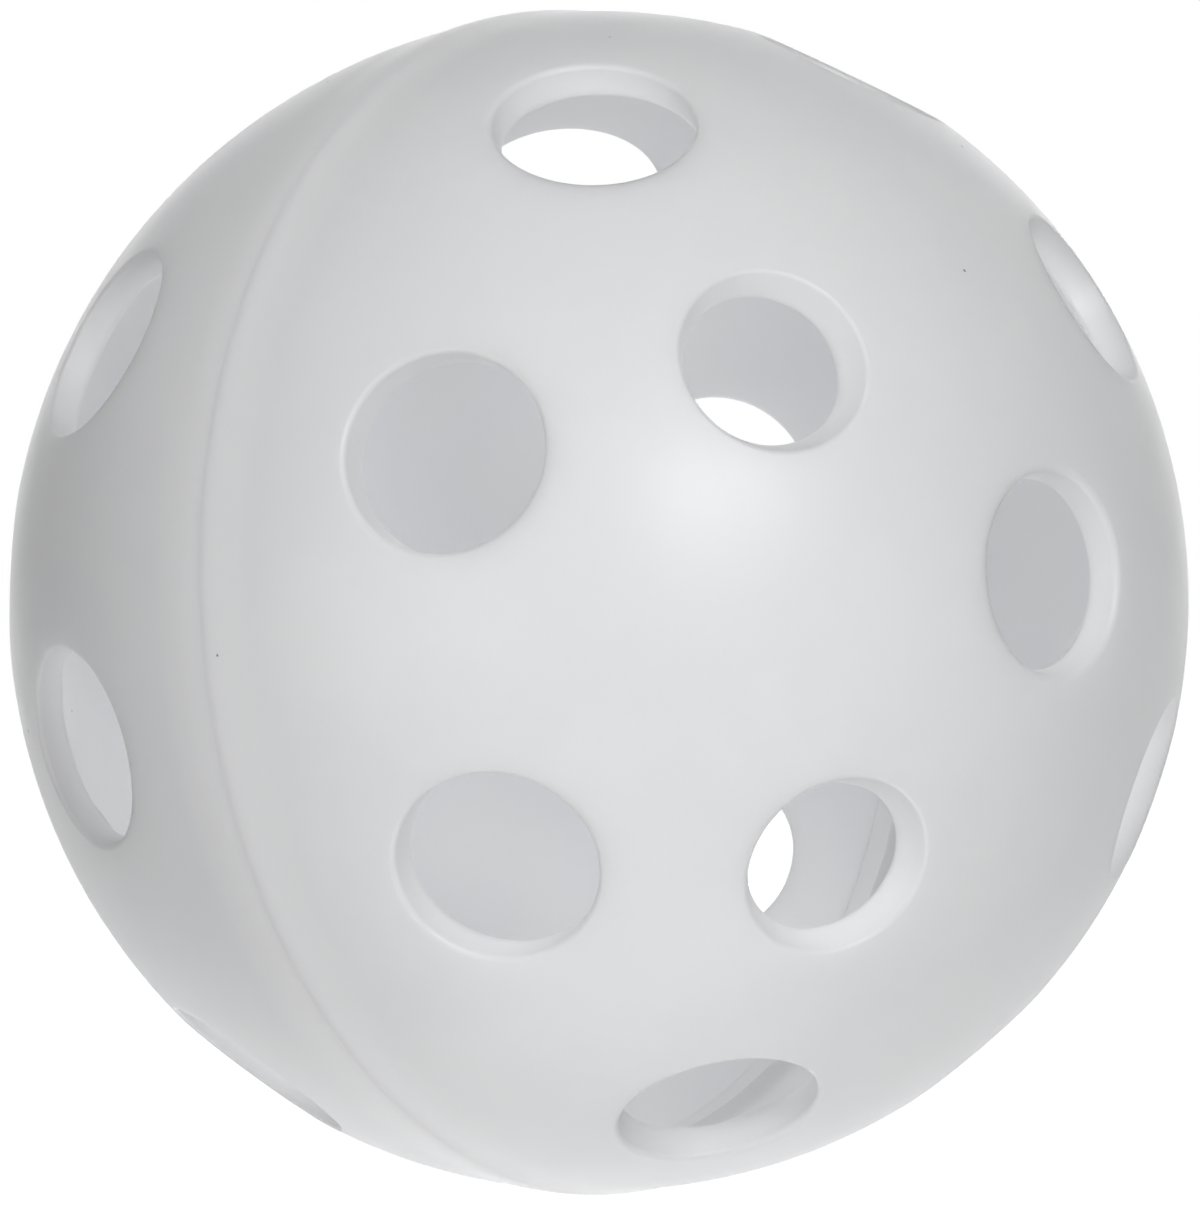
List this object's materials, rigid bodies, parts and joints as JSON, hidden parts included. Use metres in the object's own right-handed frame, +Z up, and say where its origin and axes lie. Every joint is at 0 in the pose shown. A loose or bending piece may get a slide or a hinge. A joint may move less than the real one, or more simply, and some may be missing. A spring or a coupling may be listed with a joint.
{
  "type": "floorball ball",
  "caption": "Hollow perforated plastic ball of two welded half shells, with round holes in rows round each pole, for indoor stick play.",
  "frame": {"origin": "centre of the ball", "axes": "+X along the moulding axis of the halves, out of the front half's pole hole; +Z up as the ball lies in the picture; +Y across"},
  "size_m": [0.0708, 0.0724, 0.0724],
  "materials": {
    "shell_plastic": "natural white polyethylene, satin, slightly translucent",
    "weld_plastic": "the same polyethylene, melted and set smooth and a little glossier"
  },
  "bodies": {
    "root": {"front_half_shell": "shell_plastic", "rear_half_shell": "shell_plastic", "weld_bead": "weld_plastic"}
  },
  "joints": []
}
